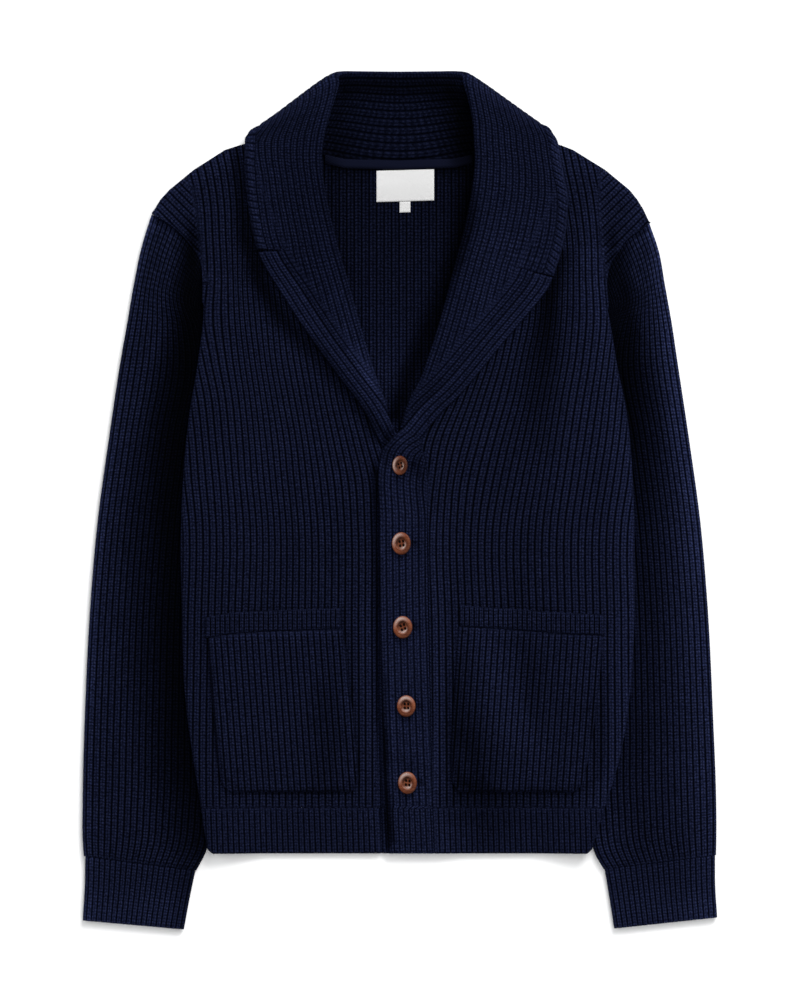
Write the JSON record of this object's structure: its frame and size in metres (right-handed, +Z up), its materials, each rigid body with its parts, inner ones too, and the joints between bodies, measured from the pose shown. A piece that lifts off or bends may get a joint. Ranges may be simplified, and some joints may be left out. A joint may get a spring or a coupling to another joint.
{
  "type": "shawl collar cardigan",
  "caption": "Chunky rib knit cardigan with a notched shawl collar, patch pockets and buttons, fastened and laid flat on its back with the sleeves at its sides.",
  "frame": {"origin": "centre of the garment's outline, on the surface that it lies on", "axes": "+X towards the wearer's left side, +Y from hem to collar, +Z up from the surface, on the side of the fronts"},
  "size_m": [0.6023, 0.8139, 0.0248],
  "materials": {
    "knit": "soft dark navy wool, knitted in ribs",
    "button": "brown, grained like wood, with a polished rim",
    "tape": "plain dark navy woven tape",
    "label": "white woven ribbon"
  },
  "bodies": {
    "root": {"back": "knit", "hem_back": "knit", "front_right": "knit", "front_left": "knit", "hem_front_right": "knit", "hem_front_left": "knit", "sleeve_right": "knit", "sleeve_left": "knit", "cuff_right": "knit", "cuff_left": "knit", "collar": "knit", "collar_trim": "knit", "band_right": "knit", "band_left": "knit", "pocket_right": "knit", "pocket_left": "knit", "welt_right": "knit", "welt_left": "knit", "button_1": "button", "button_2": "button", "button_3": "button", "button_4": "button", "button_5": "button", "neck_tape": "tape", "label": "label", "size_tab": "label"}
  },
  "joints": []
}
